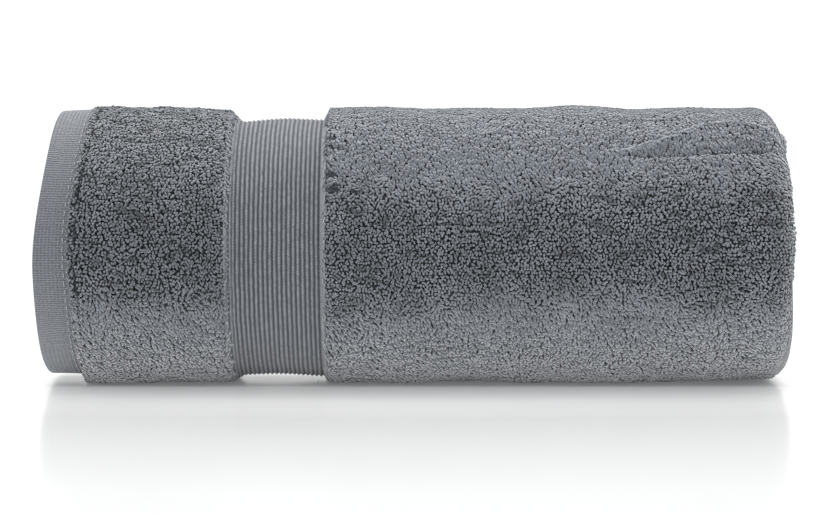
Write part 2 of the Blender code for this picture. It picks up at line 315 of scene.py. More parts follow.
# The threads of the two weaves: their pitches, how much the lines along the roll show beside
# the crossings, their relief, and how dark the cloth is between them, as painted shade. The low
# pile is terry as a relief, with painted shade between its loops, for where its loops are out of
# sight
HEM_THREADS = {"pitch_x": 0.0019, "pitch_s": 0.0011, "lines": 1.2, "depth": 0.0006, "dark": 0.40}
BORDER_THREADS = {"pitch_x": 0.00432, "pitch_s": 0.0013, "lines": 3, "depth": 0.0003, "dark": 0.78}
THREADS_WANDER = {"Scale": 260, "Detail": 2}
LOW_PILE = {"depth": 0.0010, "dark": 0.30}


def smooth(value, start, end):
    """0 before start and 1 after end, with a soft change between them."""
    share = np.clip((value - start) / (end - start), 0.0, 1.0)
    return share * share * (3 - 2 * share)


def winding_angle(along):
    """The angle wound so far, in radians, at a length along the stack from its inner end."""
    along = np.maximum(along, 0.0)
    return (np.sqrt(CORE_RADIUS**2 + 2 * GROWTH * along) - CORE_RADIUS) / GROWTH


def length_wound(angle):
    """The length along the stack at which that angle is reached."""
    return CORE_RADIUS * angle + GROWTH * angle**2 / 2


LAST_ANGLE = winding_angle(LAYER_ENDS[0])
BOTTOM_ANGLE = LAST_ANGLE - (FREE_END_ANGLE - 1.5 * math.pi)
BOTTOM_RADIUS = CORE_RADIUS + HALF_STACK + GROWTH * BOTTOM_ANGLE
AXIS_HEIGHT = BOTTOM_RADIUS - SETTLED
INNER_LAYERS_START = length_wound(math.pi)
EXPOSED_FROM = length_wound(LAST_ANGLE - 2 * math.pi + math.radians(12))


def round_angle(s):
    """The angle round the roll at a length along the winding: 90 degrees up, 180 at the front."""
    return FREE_END_ANGLE + winding_angle(s) - LAST_ANGLE


def round_degrees(s):
    """The same angle in degrees, from 0 to 360."""
    return np.degrees(np.mod(round_angle(s), 2 * math.pi))


def touches_floor(s):
    """Where the roll lies on the floor, so that nothing has to stand out of it."""
    angle = round_degrees(s)
    return (angle > TOUCHES_FLOOR[0]) & (angle < TOUCHES_FLOOR[1])


def before_end(s, angles):
    """0 before the first of two angles, counted back from the free end, and 1 from the second."""
    begin, full = (LAST_ANGLE - math.radians(angle) for angle in angles)
    return smooth(winding_angle(s), begin, full)


def end_shift(rows, rise):
    """How far an end of the roll is shifted along x at a height above the roll's axis."""
    share = rise / BOTTOM_RADIUS
    return sum(by * smooth(share, start, end) for start, end, by in rows)


def seam_bow(x, angle):
    """How far the hem's seam and the terry beside it bow towards the hem's edge."""
    turned = np.degrees(np.mod(angle, 2 * math.pi)) - SEAM_BOWS["angle"]
    share = np.exp(-((turned / SEAM_BOWS["half_angle"]) ** 2))
    places = (FIRST_HEM_X, STITCHES_X, HEM_END_X, HEM_END_X + SEAM_BOWS["fades_over"])
    return SEAM_BOWS["by"] * share * np.interp(x, places, (0.0, 0.8, 1.0, 0.0))


def placed(x, s, n):
    """Points of the flat stack carried to the roll, as rows of (x, y, z)."""
    wound = winding_angle(s)
    angle = FREE_END_ANGLE + wound - LAST_ANGLE
    radius = CORE_RADIUS + GROWTH * wound + n
    y = WIDENING * radius * np.cos(angle)
    rise = radius * np.sin(angle)
    hem_share = smooth(-x, HALF_LENGTH / 2, HALF_LENGTH)
    fold_share = smooth(x, HALF_LENGTH / 2, HALF_LENGTH)
    moved = x + hem_share * end_shift(HEMS_DRAW_IN, rise)
    moved = moved + fold_share * end_shift(FOLDS_REACH_OUT, rise)
    moved = moved - seam_bow(x, angle)
    moved = moved + TELESCOPED_AT_CORE * (1 - wound / LAST_ANGLE) * (hem_share - fold_share)
    height = rise + AXIS_HEIGHT
    return np.stack([moved - ORIGIN[0], y - ORIGIN[1], on_floor(height)], axis=-1)


def on_floor(height):
    """Heights with what would reach under the floor laid flat on it, in its own order."""
    depth = np.maximum(FLOOR_CLEARANCE + PRESSED_OVER - height, 0.0)
    pressed = FLOOR_CLEARANCE + PRESSED_OVER * np.exp(-depth / PRESSED_OVER)
    return np.where(depth > 0, pressed, height)


def near_crease(row, x, s, above, below):
    """1 on a crease and less to both sides of it, over the two half widths."""
    start, end = row["x"][0], row["x"][-1]
    angle = np.mod(round_angle(s), 2 * math.pi)
    inside = smooth(x, start, start + CREASE_FADES["in"])
    inside = inside * (1 - smooth(x, end - CREASE_FADES["out"], end))
    away = (angle - np.radians(np.interp(x, row["x"], row["angle"]))) * BOTTOM_RADIUS
    away = away / np.where(away < 0, above, below)
    return inside * np.exp(-(away**2))


def unevenness(x, s):
    """The soft waves and creases of the outer face, as a height over the even roll."""
    angle = np.mod(round_angle(s), 2 * math.pi)
    height = np.zeros(np.broadcast(x, s).shape)
    for most, number_round, number_along, phase in WAVES:
        along = 2 * math.pi * number_along * x / (2 * HALF_LENGTH)
        height += most * np.sin(number_round * angle + along + phase)
    height -= FOLDS_LIFT * smooth(x, FOLDS_LIFT_X, HALF_LENGTH) * np.maximum(-np.sin(angle), 0)
    for row in CREASES:
        height += row["height"] * near_crease(row, x, s, *row["half_widths"])
    return height * before_end(s, UNEVEN_BEFORE_END)


def plain_shares(x):
    """(share of hem, share of border) at x: 1 where the cloth has no pile and 0 in the terry."""
    hem = np.interp(x, (HEM_END_X, HEM_END_X + STEP_WIDTH), (1.0, 0.0))
    places = [BORDER_X + step for step in BORDER_SLOPE["places"]]
    places += [BORDER_END_X - step for step in BORDER_STEP["places"][::-1]]
    shares = BORDER_SLOPE["shares"] + BORDER_STEP["shares"][::-1]
    border = np.interp(x, places, shares)
    return hem, border


def outer_depth(x, s):
    """How far the hem and the border lie under the pile's outer face."""
    rise = np.sin(round_angle(s))
    shows = before_end(s, RELIEF_BEFORE_END)
    total = 0.0
    for share, row in zip(plain_shares(x), (HEM_DEPTH, BORDER_DEPTH)):
        depth = row["middle"] - row["top_to_bottom"] * rise
        total = total + (INNER_TURN_DEPTH + (depth - INNER_TURN_DEPTH) * shows) * share
    return total


def outer_ground(x, s):
    """n of the outermost layer's outer face, without its pile."""
    hem_share, border_share = plain_shares(x)
    pile = PILE * (1 - np.maximum(hem_share, border_share))
    under_ribs = (RIB_HEIGHT + GROUND_UNDER_RIBS) * smooth(border_share, 0.6, 1.0)
    return HALF_STACK - outer_depth(x, s) - pile - under_ribs + unevenness(x, s)


def cloth_thickness(x):
    """The ground cloth's thickness at x, thinner in the hems and borders."""
    hem_share, border_share = plain_shares(x)
    terry = 1 - hem_share - border_share
    return GROUND * terry + HEM_THICKNESS * hem_share + BORDER_THICKNESS * border_share


def add_object(name, data):
    """A new object in the scene."""
    piece = bpy.data.objects.new(name, data)
    bpy.context.scene.collection.objects.link(piece)
    return piece


def fill_mesh(name, points, face_groups, materials):
    """A piece of the towel from an array of points and arrays of faces of one size each."""
    corners = np.concatenate([group.ravel() for group in face_groups]).astype(np.int32)
    sizes = np.concatenate([np.full(len(group), group.shape[1]) for group in face_groups])
    starts = np.concatenate([[0], np.cumsum(sizes)[:-1]]).astype(np.int32)
    mesh = bpy.data.meshes.new(name)
    mesh.vertices.add(len(points))
    mesh.vertices.foreach_set("co", np.ascontiguousarray(points, np.float32).ravel())
    mesh.loops.add(len(corners))
    mesh.loops.foreach_set("vertex_index", corners)
    mesh.polygons.add(len(sizes))
    mesh.polygons.foreach_set("loop_start", starts)
    mesh.update(calc_edges=True)
    mesh.validate()
    mesh.shade_smooth()
    for material in materials:
        mesh.materials.append(material)
    piece = add_object(name, mesh)
    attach(piece, "root")
    return piece


def paint_yarn(piece, height, shade, lie):
    """Keeps at each point the height in the pile (the root's painted shade or light), a shade that
    is random with painted highlight and shade in places, and how much the yarn lies.
    """
    colours = np.stack([height, shade, lie, np.ones_like(lie)], axis=-1).astype(np.float32)
    layer = piece.data.color_attributes.new("yarn", "FLOAT_COLOR", "POINT")
    layer.data.foreach_set("color", colours.ravel())


def lay_threads(piece, x, s):
    """Keeps each point's place on the flat cloth, in metres, as the map of the weave."""
    places = np.stack([x.ravel(), s.ravel()], axis=1).astype(np.float32)
    corners = np.empty(len(piece.data.loops), np.int32)
    piece.data.loops.foreach_get("vertex_index", corners)
    layer = piece.data.uv_layers.new(name="weave")
    layer.data.foreach_set("uv", places[corners].ravel())


def grid_quads(rows, columns):
    """Quads of a grid whose points are numbered row by row."""
    index = np.arange(rows * columns).reshape(rows, columns)
    corners = (index[:-1, :-1], index[1:, :-1], index[1:, 1:], index[:-1, 1:])
    return np.stack([corner.ravel() for corner in corners], axis=1)


def closed_slab(rows, columns):
    """Faces of the closed slab between two grids of the same size, one after the other."""
    count = rows * columns
    index = np.arange(count).reshape(rows, columns)
    rim = np.concatenate([index[0, :-1], index[:-1, -1], index[-1, :0:-1], index[:0:-1, 0]])
    following = np.roll(rim, -1)
    sides = np.stack([rim, following, following + count, rim + count], axis=1)
    return [grid_quads(rows, columns), grid_quads(rows, columns)[:, ::-1] + count, sides]


def closed_strip(rows, columns):
    """Faces of a closed strip: a grid of rows x columns over a plain back, two points a row."""
    index = np.arange(rows * columns).reshape(rows, columns)
    back = rows * columns + np.arange(rows * 2).reshape(rows, 2)
    first, last = index[:, 0], index[:, -1]
    sides = [
        np.stack([first[:-1], back[:-1, 0], back[1:, 0], first[1:]], axis=1)[:, ::-1],
        np.stack([last[:-1], back[:-1, 1], back[1:, 1], last[1:]], axis=1),
        np.stack([back[:-1, 0], back[:-1, 1], back[1:, 1], back[1:, 0]], axis=1)[:, ::-1],
    ]
    caps = [
        np.concatenate([index[0], back[0, ::-1]])[None],
        np.concatenate([index[-1], back[-1, ::-1]])[None, ::-1],
    ]
    return [grid_quads(rows, columns), *sides, *caps]


def winding_steps():
    """Shares of a layer's length, from its inner end to its free one, denser where it shows."""
    last = winding_angle(TOWEL_WIDTH)
    shown_from = last - math.radians(SHOWN_BEFORE_END)
    inner = np.arange(0.0, 2 * math.pi, math.radians(FIRST_TURN_STEP))
    middle = np.arange(2 * math.pi, shown_from, math.radians(HIDDEN_STEP))
    outer = np.arange(shown_from, last, math.radians(SHOWN_STEP))
    creased = last - np.radians(np.arange(*CREASED_BEFORE_END, SHOWN_STEP) + SHOWN_STEP / 2)
    angles = np.sort(np.concatenate([inner, middle, outer, creased]))
    shares = length_wound(angles) / TOWEL_WIDTH
    rim = np.array(RIM_SHARES)
    shares = shares[(shares > RIM_END) & (shares < 1 - RIM_END)]
    return np.concatenate([[0.0], rim, shares, 1 - rim[::-1], [1.0]])


def spread(start, end, step):
    """Even places from start towards end, without the last one."""
    count = max(1, round(abs(end - start) / step))
    return np.linspace(start, end, count + 1)[:-1]


def layer_places(hem_edge):
    """Places along a layer with a hem and a border, from its hem to the fold.

    They lie close together at the edge, where the cloth's level changes and where it is creased.
    """
    steps = [0.0, STEP_WIDTH, 2 * STEP_WIDTH, 3 * STEP_WIDTH]
    return [
        hem_edge,
        hem_edge + 0.0003,
        hem_edge + 0.0009,
        *spread(hem_edge + 0.002, HEM_END_X, 0.003),
        *(HEM_END_X + share * STEP_WIDTH for share in (0, 0.5, 1)),
        *spread(HEM_END_X + 2 * STEP_WIDTH, BORDER_X, 0.012),
        *(BORDER_X + step for step in steps),
        *spread(BORDER_X + 0.006, BORDER_END_X - 0.005, 0.009),
        *(BORDER_END_X - step for step in steps[::-1]),
        *spread(BORDER_END_X + 0.003, CREASED_FROM_X, 0.010),
        *spread(CREASED_FROM_X, OUTER_FOLD_X, 0.005),
    ]


def fold(layer, x, n, radius, side, way):
    """Stations round a fold about (x, n), open to -x for side 1 and to +x for side -1.

    way is 1 where the shown face is on the outside of the fold, and -1 where it is within.
    """
    start = way if side == 1 else -1
    rows = []
    for turn in np.linspace(0, math.pi, 9):
        out_x = side * math.sin(turn)
        out_n = start * math.cos(turn)
        rows.append((layer, x + radius * out_x, n + radius * out_n, way * out_x, way * out_n))
    return rows


def sheet_stations():
    """Stations along the towel from one hem to the other.

    Each is a row (layer, x, n of the middle, and the unit vector, x and n, that points out of
    the face that shows on the roll).
    """
    outer, inner = HALF_STACK - LAYER / 2, LAYER / 2
    first = [(0, x, outer, 0.0, 1.0) for x in layer_places(FIRST_HEM_X)]
    last = [(3, x, -outer, 0.0, -1.0) for x in spread(OUTER_FOLD_X, INNER_FOLD_X, 0.03)[1:]]
    third = [(2, x, -inner, 0.0, 1.0) for x in spread(INNER_FOLD_X, OUTER_FOLD_X, 0.03)[1:]]
    second = [(1, x, inner, 0.0, -1.0) for x in layer_places(SECOND_HEM_X)[::-1]]
    return [
        *first,
        *fold("outer fold", OUTER_FOLD_X, 0.0, outer, 1, 1),
        *last,
        *fold("middle fold", INNER_FOLD_X, -LAYER, inner, -1, 1),
        *third,
        *fold("inner fold", OUTER_FOLD_X, 0.0, inner, 1, -1),
        *second,
    ]


def column(stations, i):
    """One value of each station, as a column. The layers come out as text."""
    return np.array([row[i] for row in stations])[:, None]


def layer_span(stations):
    """(start, end) of the winding at each station, changed gradually round the folds."""
    layers = column(stations, 0)[:, 0]
    places = np.array([row[1:3] for row in stations])
    walked = np.concatenate([[0.0], np.cumsum(np.linalg.norm(np.diff(places, axis=0), axis=1))])
    knots, starts, ends = [], [], []
    for layer in (0, 3, 2, 1):
        inside = walked[layers == str(layer)]
        knots += [inside.min() + CHANGES_OVER, inside.max() - CHANGES_OVER]
        starts += [0.0 if layer < 2 else INNER_LAYERS_START] * 2
        ends += [LAYER_ENDS[layer]] * 2
    return np.interp(walked, knots, starts), np.interp(walked, knots, ends)


def edge_rounding(count):
    """Shares of the thickness along count stations, less at both ends, which rounds the edge."""
    shares = np.ones(count)
    shares[[0, -1]], shares[[1, -2]] = EDGE_THICKNESS
    return shares


def sheet_rows(stations):
    """Grids of x, s, n and thickness over the towel."""
    shares = winding_steps()
    starts, ends = layer_span(stations)
    s = starts[:, None] + (ends - starts)[:, None] * shares[None, :]
    layer, x, n = column(stations, 0), column(stations, 1) + 0 * s, column(stations, 2) + 0 * s
    thick = np.where((layer == "0") | (layer == "1"), cloth_thickness(x), GROUND)
    first = outer_ground(x, s)
    second = np.minimum(LAYER - PILE + GROUND / 2, first - thick - LAYER_CLEARANCE)
    n = np.where(layer == "0", first - thick / 2, n)
    n = np.where(layer == "1", second - thick / 2, n)
    lifted = unevenness(x, s) * np.maximum(n, 0) / HALF_STACK
    n = np.where(layer == "outer fold", n + lifted, n)
    thick = thick * edge_rounding(len(shares))[None, :] * edge_rounding(len(stations))[:, None]
    return x, s, n, thick


def ground_cloth(materials):
    """The towel's ground cloth, the whole sheet folded and rolled, as one closed mesh."""
    stations = sheet_stations()
    x, s, n, thick = sheet_rows(stations)
    half_x, half_n = (column(stations, i) * thick / 2 for i in (3, 4))
    shown = placed(x + half_x, s, n + half_n).reshape(-1, 3)
    hidden = placed(x - half_x, s, n - half_n).reshape(-1, 3)
    faces = closed_slab(*x.shape)
    points = np.concatenate([shown, hidden])
    piece = fill_mesh("towel_ground_cloth", points, faces, materials)
    hem_share, border_share = plain_shares(x)
    layered = np.isin(column(stations, 0), ("0", "1"))
    woven = np.where(layered, np.maximum(hem_share, border_share), 0.0)
    # The terry's ground takes the root colour: painted shade between the loops, painted light
    # where they lie
    paint_yarn(piece, *(np.tile(part.ravel(), 2) for part in (woven, 0.5 + 0 * x, lying(x, s))))
    lay_threads(piece, np.tile(x, (2, 1)), np.tile(s, (2, 1)))
    sort_bands(piece, x, layered[:-1, :], faces)
    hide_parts(NODE)
    return piece


def sort_bands(piece, x, layered, faces):
    """Gives the sheet's hems and borders the second and the third of its materials."""
    middle = (x[:-1, :-1] + x[1:, :-1]) / 2
    hem = middle < HEM_END_X + STEP_WIDTH
    border = (middle > BORDER_X) & (middle < BORDER_END_X)
    bands = (np.where(hem, 1, np.where(border, 2, 0)) * layered).ravel()
    rim = np.ones(len(faces[-1]), int)
    piece.data.polygons.foreach_set("material_index", np.concatenate([bands, bands, rim]))


def noise(x, y, cell, seed):
    """Smooth noise from -1 to 1 over the plane, with cells of the given size."""
    u, v = x / cell, y / cell
    iu, iv = np.floor(u).astype(np.int64), np.floor(v).astype(np.int64)
    fu, fv = u - iu, v - iv
    fu, fv = fu * fu * (3 - 2 * fu), fv * fv * (3 - 2 * fv)

    def corner(du, dv):
        """A value at a corner of the cell, mixed from its place and the seed."""
        value = (iu + du) * 73856093 ^ (iv + dv) * 19349663 ^ seed * 83492791
        value = (value ^ (value >> 13)) * 1274126177 & 0x7FFFFFFF
        return (value ^ (value >> 11)) % 65536 / 32767.5 - 1

    low = corner(0, 0) * (1 - fu) + corner(1, 0) * fu
    high = corner(0, 1) * (1 - fu) + corner(1, 1) * fu
    return low * (1 - fv) + high * fv


def uneven(value, x, s, rows):
    """A value made uneven by noises, each a row (how much, the size of its cells, its seed)."""
    for by, cell, seed in rows:
        value = value + by * noise(x, s, cell, seed)
    return value


def lying(x, s):
    """How much the pile lies down at (x, s): it stands in a band along the roll's front."""
    angle = uneven(round_degrees(s), x, s, LIE_UNEVEN)
    stands_from = np.interp(x, LIES_ABOVE["x"], LIES_ABOVE["angle"])
    most = np.interp(x, LIES_ABOVE["x"], LIES_ABOVE["most"])
    most = LIES_BELOW["most"] + (most - LIES_BELOW["most"]) * smooth(angle, *OVER_THE_BACK)
    above = most * smooth(stands_from - angle, 0, LIES_ABOVE["over"])
    below = LIES_BELOW["most"] * smooth(angle - LIES_BELOW["angle"], 0, LIES_BELOW["over"])
    return np.maximum(above, below)


def parted(x, s):
    """How much the pile gives way at (x, s), from 0 to 1 in the middle of a parting."""
    along = np.radians(round_degrees(s)) * BOTTOM_RADIUS
    share = np.zeros(x.shape)
    for *ends, half_width in PARTINGS:
        ends = np.reshape(ends, (2, 2))
        ends[:, 1] = np.radians(ends[:, 1]) * BOTTOM_RADIUS
        line = ends[1] - ends[0]
        offset = np.stack([x - ends[0, 0], along - ends[0, 1]], axis=-1)
        place = np.clip(offset @ line / (line @ line), 0, 1)
        away = np.linalg.norm(offset - place[..., None] * line, axis=-1)
        away = away + 0.5 * half_width * noise(x, s, 0.003, 31)
        share = np.maximum(share, np.exp(-((away / half_width) ** 2)))
    return share * np.clip(uneven(PARTING_DEPTH, x, s, PARTING_UNEVEN), 0, 1)


def scattered(w_span, s_span, rng, wider=1.0):
    """Places (w, s) of loops: rows that are woven in order, and pushed about a little."""
    pitch_w, pitch_s = wider * LOOP_PITCH_X, wider * LOOP_PITCH_S
    rows = int((s_span[1] - s_span[0]) / pitch_s)
    columns = int((w_span[1] - w_span[0]) / pitch_w)
    i, j = np.meshgrid(np.arange(rows), np.arange(columns), indexing="ij")
    w = w_span[0] + (j + 0.25 + 0.5 * (i % 2)) * pitch_w
    s = s_span[0] + (i + 0.5) * pitch_s
    w = w + rng.uniform(-LOOPS_LOOSE, LOOPS_LOOSE, w.shape) * pitch_w
    s = s + rng.uniform(-LOOPS_LOOSE, LOOPS_LOOSE, s.shape) * pitch_s
    return w.ravel(), s.ravel()


def dashes(w, s, lie):
    """Short gaps between the rows of the standing pile, from 0 to 1 in their middle."""
    value = noise(w, PILE_DASHES["stretch"] * s, PILE_DASHES["cell"], 61)
    return smooth(value, PILE_DASHES["from"], PILE_DASHES["to"]) * (1 - 0.7 * lie)


def crest_of_ridge(x, s):
    """1 on the crest of the ridge, where the pile lies along it, and 0 away from it."""
    return near_crease(RIDGE, x, s, *RIDGE_CREST_HIGHLIGHT["half_widths"])


def ridge_angle(x):
    """The angle round the roll, in radians, at which the ridge lies."""
    return np.radians(np.interp(x, RIDGE["x"], RIDGE["angle"]))


def ridge_rows(rng):
    """Places (w, s) of close rows of loops along the crest of the ridge."""
    places = np.arange(RIDGE["x"][1], RIDGE["x"][-1], RIDGE_LOOPS["pitch"])
    w, row = (part.ravel() for part in np.meshgrid(places, RIDGE_LOOPS["rows"]))
    w = w + RIDGE_LOOPS["loose"] * rng.uniform(-1, 1, len(w))
    s = length_wound(ridge_angle(w) + LAST_ANGLE - FREE_END_ANGLE)
    return w, s + row + RIDGE_LOOPS["loose"] * rng.uniform(-1, 1, len(w))


def loop_grids(w, s, lie, rng):
    """Loops over the surface at (w, s), as rows of points (w, s, height) from foot to foot.

    lie runs from 0, a short loop that stands and points anywhere, to 1, a long one that lies
    along the winding.
    """
    count = len(w)
    anywhere = math.pi * (noise(w, s, 0.0045, 5) + 0.35 * rng.uniform(-1, 1, count))
    along_s = math.pi / 2 + 0.45 * noise(w, s, 0.007, 9) + 0.45 * rng.uniform(-1, 1, count)
    way = anywhere * (1 - lie) + along_s * lie
    crest = crest_of_ridge(w, s)
    step = 0.002
    slope = BOTTOM_RADIUS * (ridge_angle(w + step) - ridge_angle(w - step)) / (2 * step)
    way = way * (1 - crest) + np.arctan(slope) * crest
    span, radius, lean = (
        (STANDING_LOOP[key] * (1 - lie) + LYING_LOOP[key] * lie) * rng.uniform(*varies, count)
        for key, varies in LOOP_VARIES.items()
    )
    top = uneven(TOP_VARIES * rng.uniform(-1, 1, count), w, s, TOP_UNEVEN)
    top = top + TALL_LOOPS["by"] * (rng.uniform(0, 1, count) < TALL_LOOPS["share"])
    top = top * (1 - 0.6 * lie) + PILE - radius / 2 + 0.0004 * crest
    top = top * (1 - 0.75 * np.maximum(parted(w, s), 0.8 * dashes(w, s, lie)))
    points = []
    for reach, rise, leans, sides in LOOP_RINGS:
        facing = math.radians(leans)
        middle = reach * span + lean * max(rise, 0)
        thick = radius if sides > 1 else 0 * radius
        for side in range(sides):
            turn = math.pi / 6 + side * 2 * math.pi / 3
            outward, sideways = thick * math.sin(turn), thick * math.cos(turn)
            along = middle - outward * math.sin(facing)
            point_w = w + along * np.cos(way) - sideways * np.sin(way)
            point_s = s + along * np.sin(way) + sideways * np.cos(way)
            height = rise * top + outward * math.cos(facing)
            points.append(np.stack([point_w, point_s, height], axis=-1))
    return np.stack(points, axis=1)


def loop_faces(count):
    """Triangles and quads of that many loops."""
    sides = [(k, (k + 1) % 3) for k in range(3)]
    first, last = 0, LOOP_POINTS - 1
    triangles = [(first, 1 + b, 1 + a) for a, b in sides]
    triangles += [(4 + a, 4 + b, last) for a, b in sides]
    quads = [(1 + a, 1 + b, 4 + b, 4 + a) for a, b in sides]
    shift = LOOP_POINTS * np.arange(count)[:, None, None]
    return [(np.array(one)[None] + shift).reshape(-1, len(one[0])) for one in (triangles, quads)]


def loop_shades(w, s, lie, rng):
    """A shade for each loop, 0.5 on average: a painted highlight on the ridge, painted shade over
    the roll's lower side, and darker beside the hem.
    """
    shade = uneven(SHADE_VARIES * rng.uniform(-1, 1, len(w)), w, s, SHADE_UNEVEN)
    # Paler on the ridge's crest: a painted highlight
    shade = 0.5 + shade * (1 - 0.5 * lie) + RIDGE_CREST_HIGHLIGHT["shade"] * crest_of_ridge(w, s)
    angle = round_degrees(s)
    # Painted shade over the roll's lower side
    below = smooth(angle, *PAINTED_SHADE_BELOW["from"]) * (1 - smooth(angle, *PAINTED_SHADE_BELOW["to"]))
    return shade - PAINTED_SHADE_BELOW["by"] * below - DARKER_BY_HEM * (w < BORDER_X)


def loops_piece(name, w, s, lie, carry, rng, materials):
    """An object of loops at (w, s), carried to the roll by carry()."""
    grid = loop_grids(w, s, lie, rng)
    points = carry(grid[..., 0], grid[..., 1], grid[..., 2]).reshape(-1, 3)
    faces = loop_faces(len(grid))
    piece = fill_mesh(name, points, faces, [materials["pile"], materials["parting_shade"]])
    gap = parted(w, s)
    # In a parting the loop's height and lie are dimmed, which takes its colour to the dark root:
    # painted shade
    lit = 1 - PARTING_PAINTED_SHADE * gap
    parting_shade = (gap > PARTING_SHADE_FROM).astype(int)
    parting_shade = np.concatenate([np.repeat(parting_shade, len(part) // len(grid)) for part in faces])
    piece.data.polygons.foreach_set("material_index", parting_shade)
    # Low on a loop the colour goes to the root's: painted shade, or painted light where the pile
    # lies
    height = np.clip(grid[..., 2] / PILE, 0, 1) * lit[:, None]
    by_loop = (loop_shades(w, s, lie, rng), lie * lit)
    paint_yarn(piece, height.ravel(), *(np.repeat(part, LOOP_POINTS) for part in by_loop))
    return piece


def over_outer_face(w, s, height):
    """Carries (w, s, height) over the outer face, which turns into the fold past its end."""
    round_fold = np.maximum(w - OUTER_FOLD_X, 0.0) / HALF_STACK
    x = np.minimum(w, OUTER_FOLD_X)
    reach = outer_ground(x, s) + height
    return placed(x + reach * np.sin(round_fold), s, reach * np.cos(round_fold))


def over_inner_fold(w, s, height):
    """Carries (w, s, height) over the fold at the hem end. w runs round it from its middle."""
    reach = LAYER - PILE + height
    turn = w / LAYER
    return placed(INNER_FOLD_X - reach * np.cos(turn), s, reach * np.sin(turn) - LAYER)


def outer_loops(rng, materials):
    """The loops that show on the outer turn, in one piece for each strip of terry."""
    last_w = OUTER_FOLD_X + HALF_STACK * FOLD_SHOWS_TO
    strips = {
        "terry_by_hem": (HEM_END_X, BORDER_X + TERRY_OVER_BORDER["slope"]),
        "terry_by_border": (BORDER_END_X - TERRY_OVER_BORDER["step"], STRIPS_MEET[0]),
        "terry_middle": STRIPS_MEET,
        "terry_by_folds": (STRIPS_MEET[1], last_w),
    }
    all_w, all_s = scattered((HEM_END_X, last_w), (EXPOSED_FROM, LAYER_ENDS[0] - 0.001), rng)
    ridge_w, ridge_s = ridge_rows(rng)
    all_w, all_s = np.concatenate([all_w, ridge_w]), np.concatenate([all_s, ridge_s])
    pieces = []
    for name, (start, end) in strips.items():
        edge = all_w + TERRY_OVER_BORDER["uneven"] * noise(all_w, all_s, 0.004, 41)
        inside = (edge >= start) & (edge < end) & ~touches_floor(all_s)
        w, s = all_w[inside], all_s[inside]
        pieces.append(loops_piece(name, w, s, lying(w, s), over_outer_face, rng, materials))
    return pieces


def end_loops(rng, materials):
    """The loops on the folds that show at the roll's two ends."""
    reach = LAYER * FOLD_SHOWS_TO
    inner_turns = (INNER_LAYERS_START, LAYER_ENDS[2])
    pieces = []
    for name, w_span, s_span, carry in (
        ("terry_on_folds", LOOPS_ON_FOLDS, (LOOPS_FROM_CORE, EXPOSED_FROM), over_outer_face),
        ("terry_on_inner_fold", (-reach, reach), inner_turns, over_inner_fold),
    ):
        w, s = scattered(w_span, s_span, rng)
        lie = np.full(len(w), LIES_AT_ENDS)
        pieces.append(loops_piece(name, w, s, lie, carry, rng, materials))
    return pieces


def free_edge_loops(rng, materials):
    """The loops along the free edges of the three layers that reach past the outermost one.

    They stop short near the folds, where one layer's edge runs into the next one's.
    """
    faces = {1: LAYER - PILE + GROUND / 2, 2: (GROUND - LAYER) / 2, 3: (GROUND - 3 * LAYER) / 2}
    pieces = []
    for layer, face in faces.items():
        start, end = LAYER_ENDS[layer - 1], LAYER_ENDS[layer] - 0.0012
        w, s = scattered((INNER_FOLD_X, OUTER_FOLD_X), (start, end), rng, FREE_EDGE_PITCH)
        short = 1.1 * np.maximum(w - OUTER_FOLD_X + CHANGES_OVER, 0)
        short = short + 0.3 * np.maximum(INNER_FOLD_X + CHANGES_OVER - w, 0)
        inside = (s < end - short) & ((plain_shares(w)[1] < 0.3) | (layer > 1))
        w, s = w[inside], s[inside]

        def over_face(x, s, height):
            return placed(x, s, face + height)

        name = "terry_free_edge_" + str(layer)
        lie = np.full(len(w), LIES_AT_FREE_EDGES)
        pieces.append(loops_piece(name, w, s, lie, over_face, rng, materials))
    return pieces


def rib_relief(x, s):
    """(crest, bead) of the ribs: 1 on a rib's crest and 0 in its groove, and how it is beaded."""
    number = np.interp(x, RIB_EDGES, np.arange(len(RIB_EDGES)))
    own = 0.02 * np.round(number)
    sway = RIB_SWAY * noise(x, s, 0.009, 21) + RIB_SWAY * noise(own, s, 0.0016, 22)
    place = np.interp(x + sway, RIB_EDGES, np.arange(len(RIB_EDGES)))
    between = np.abs(np.mod(place + 0.5, 1) - 0.5) * 2
    bead = 0.5 + 0.5 * noise(0.02 * np.floor(place), s, 0.0012, 23)
    crest = smooth(between, *RIB_SLOPE) * (1 - BEAD_DEPTH * bead)
    on_ribs = (x > RIB_EDGES[0] - 0.0003) & (x < RIB_EDGES[-1] + 0.0003)
    strand = np.sin(2 * math.pi * (s - MARGIN_TWIST["slant"] * x) / MARGIN_TWIST["pitch"])
    margin = 1 - MARGIN_TWIST["depth"] * (0.5 - 0.5 * strand)
    return np.where(on_ribs, crest, margin), bead


